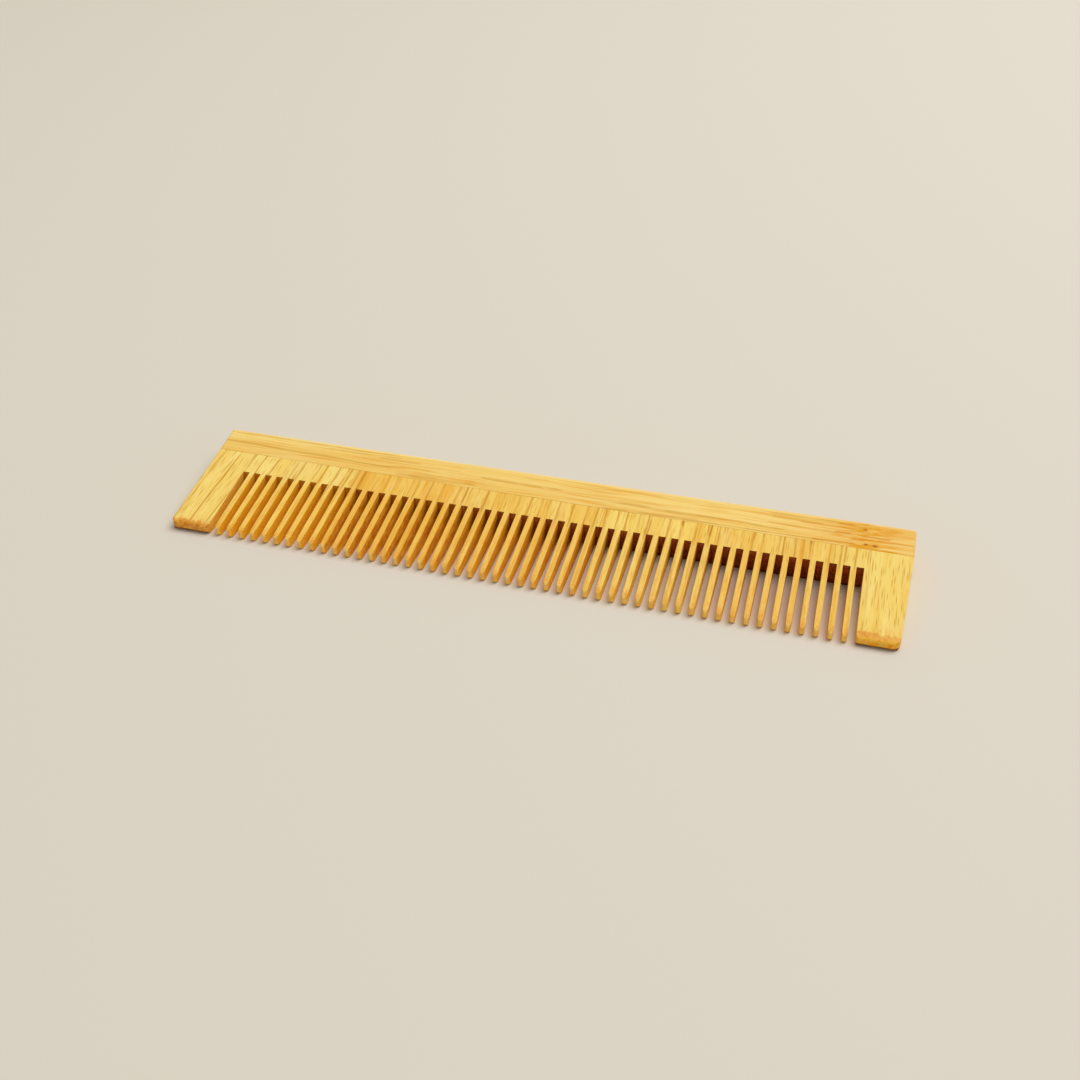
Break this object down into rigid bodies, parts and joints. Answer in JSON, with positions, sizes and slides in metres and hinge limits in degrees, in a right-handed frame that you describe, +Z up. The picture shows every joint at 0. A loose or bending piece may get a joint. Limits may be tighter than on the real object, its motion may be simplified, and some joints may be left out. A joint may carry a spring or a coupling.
{
  "type": "hair comb",
  "caption": "Flat wedge-section bamboo comb: a lengthwise spine strip glued to edge-glued tooth slats, with a row of fine straight teeth between solid guard teeth.",
  "frame": {"origin": "centre of the comb's footprint, on the flat underside it rests on", "axes": "+X along the comb's length, -Y towards the tooth tips, +Z up through the comb's thickness"},
  "size_m": [0.1808, 0.039, 0.0078],
  "materials": {
    "spine": "fine-sanded bamboo with its grain along the comb, matte",
    "left_guard_slat": "fine-sanded bamboo with its grain along the teeth, pale, matte",
    "tooth_slat_a": "fine-sanded bamboo with its grain along the teeth, more orange, matte",
    "tooth_slat_b": "fine-sanded bamboo with its grain along the teeth, matte",
    "tooth_slat_c": "fine-sanded bamboo with its grain along the teeth, pale, matte",
    "tooth_slat_d": "fine-sanded bamboo with its grain along the teeth, matte",
    "right_guard_slat": "fine-sanded bamboo with its grain along the teeth, pale, matte"
  },
  "bodies": {
    "root": {"spine": "spine", "left_guard_slat": "left_guard_slat", "tooth_slat_a": "tooth_slat_a", "tooth_slat_b": "tooth_slat_b", "tooth_slat_c": "tooth_slat_c", "tooth_slat_d": "tooth_slat_d", "right_guard_slat": "right_guard_slat"}
  },
  "joints": []
}
